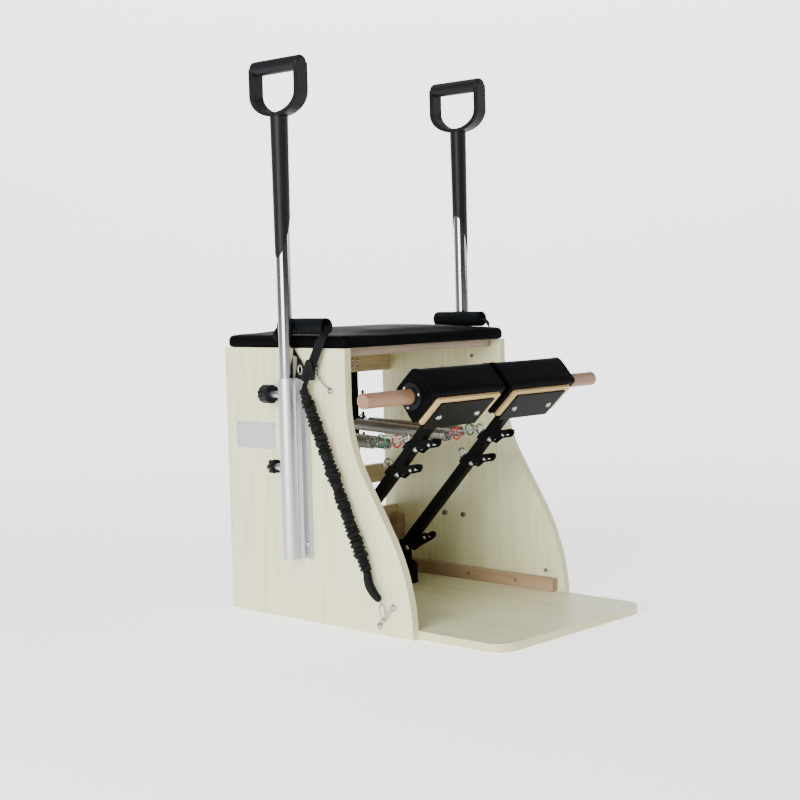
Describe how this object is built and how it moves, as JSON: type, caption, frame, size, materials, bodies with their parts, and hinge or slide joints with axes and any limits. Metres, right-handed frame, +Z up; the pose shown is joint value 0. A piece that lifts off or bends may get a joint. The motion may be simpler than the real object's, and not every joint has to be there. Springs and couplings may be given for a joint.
{
  "type": "pilates chair",
  "caption": "Cushioned wooden box chair with a split spring-loaded foot pedal, a deck, height-adjustable side poles with D-shaped grips, and pull bands on its sides.",
  "frame": {"origin": "on the floor, below the middle of the bounding box", "axes": "+Z up, the front edge of the deck towards -Y, +X towards the right side seen from the back"},
  "size_m": [0.77, 0.813, 1.2445],
  "materials": {
    "maple_laminate": "satin laminate with upright grain",
    "beech": "oiled beech",
    "pine_ply": "plywood",
    "gold_ply": "plywood edge",
    "black_vinyl": "soft sheen",
    "grip_foam": "foam grip",
    "webbing": "woven nylon",
    "black_steel": "fine textured powder coat",
    "black_plastic": "moulded",
    "bumper_rubber": "matt",
    "chrome_fittings": "polished",
    "pole_steel": "polished stainless",
    "spring_steel": "bright wire",
    "satin_aluminium": "satin anodised",
    "bare_plate": "matt, bare",
    "ring_red": "gloss",
    "ring_green": "gloss"
  },
  "bodies": {
    "frame": {"left_side_panel": "maple_laminate", "right_side_panel": "maple_laminate", "deck_board": "maple_laminate", "cleats": "beech", "rear_board": "pine_ply", "seat_board": "beech", "seat_cushion": "black_vinyl", "upper_back_rail": "pine_ply", "lower_back_rail": "pine_ply", "left_spring_bar": "black_steel", "right_spring_bar": "black_steel", "hinge_brackets": "black_steel", "hinge_pins": "chrome_fittings", "pedal_bumpers": "bumper_rubber", "left_pole_holder": "satin_aluminium", "right_pole_holder": "satin_aluminium", "side_bolts": "chrome_fittings", "strap_eyes": "chrome_fittings", "name_plate": "bare_plate", "frame_screws": "chrome_fittings", "band_ends": "bumper_rubber", "strap_hooks": "chrome_fittings", "rear_spring_rings": "ring_green", "left_strap_grip": "grip_foam", "left_strap_webbing": "webbing", "left_band_sleeve": "webbing", "left_outer_spring": "spring_steel", "left_inner_spring": "spring_steel", "right_strap_grip": "grip_foam", "right_strap_webbing": "webbing", "right_band_sleeve": "webbing", "right_outer_spring": "spring_steel", "right_inner_spring": "spring_steel"},
    "left_pedal": {"left_pedal_arm": "black_steel", "left_pad_board": "gold_ply", "left_pedal_pad": "black_vinyl", "left_pad_flange": "black_plastic", "left_arm_clamps": "black_steel", "left_eye_bolts": "chrome_fittings", "left_arm_bolts": "chrome_fittings", "left_spring_rings": "ring_red", "left_snap_hooks": "chrome_fittings"},
    "right_pedal": {"right_pedal_arm": "black_steel", "right_pad_board": "gold_ply", "right_pedal_pad": "black_vinyl", "right_pad_flange": "black_plastic", "right_arm_clamps": "black_steel", "right_eye_bolts": "chrome_fittings", "right_arm_bolts": "chrome_fittings", "right_spring_rings": "ring_red", "right_snap_hooks": "chrome_fittings"},
    "dowel": {"dowel": "beech"},
    "left_pole": {"left_pole": "pole_steel", "left_d_grip": "black_plastic"},
    "right_pole": {"right_pole": "pole_steel", "right_d_grip": "black_plastic"},
    "left_height_knob": {"left_height_knob": "black_plastic"},
    "right_height_knob": {"right_height_knob": "black_plastic"},
    "left_clamp_knob": {"left_clamp_knob": "black_plastic"},
    "right_clamp_knob": {"right_clamp_knob": "black_plastic"}
  },
  "joints": [
    {"name": "left_pedal_hinge", "type": "hinge", "parent": "frame", "child": "left_pedal", "pos_m": [-0.124, 0.244, 0.0815], "axis": [1, 0, 0], "range_deg": [0, 31], "stiffness_Nm_per_rad": 60, "springref_deg": -20.05, "deforming": ["left_outer_spring", "left_inner_spring"]},
    {"name": "right_pedal_hinge", "type": "hinge", "parent": "frame", "child": "right_pedal", "pos_m": [0.124, 0.244, 0.0815], "axis": [1, 0, 0], "range_deg": [0, 31], "stiffness_Nm_per_rad": 60, "springref_deg": -20.05, "deforming": ["right_outer_spring", "right_inner_spring"]},
    {"name": "dowel_slide", "type": "slide", "parent": "left_pedal", "child": "dowel", "axis": [1, 0, 0], "range_m": [-0.35, 0.35]},
    {"name": "left_pole_slide", "type": "slide", "parent": "frame", "child": "left_pole", "axis": [0, 0, 1], "range_m": [-0.12, 0.2]},
    {"name": "right_pole_slide", "type": "slide", "parent": "frame", "child": "right_pole", "axis": [0, 0, 1], "range_m": [-0.12, 0.2]},
    {"name": "left_height_knob_pull", "type": "slide", "parent": "frame", "child": "left_height_knob", "axis": [0, 1, 0], "range_m": [0, 0.008], "stiffness_N_per_m": 900, "springref_m": -0.004},
    {"name": "right_height_knob_pull", "type": "slide", "parent": "frame", "child": "right_height_knob", "axis": [0, 1, 0], "range_m": [0, 0.008], "stiffness_N_per_m": 900, "springref_m": -0.004},
    {"name": "left_clamp_knob_turn", "type": "hinge", "parent": "frame", "child": "left_clamp_knob", "pos_m": [-0.2925, 0.215, 0.346], "axis": [0, 1, 0], "continuous": true},
    {"name": "right_clamp_knob_turn", "type": "hinge", "parent": "frame", "child": "right_clamp_knob", "pos_m": [0.2925, 0.215, 0.346], "axis": [0, 1, 0], "continuous": true}
  ],
  "couplings": [
    {"joint": "right_pedal_hinge", "follows": "left_pedal_hinge", "ratio": 1}
  ]
}
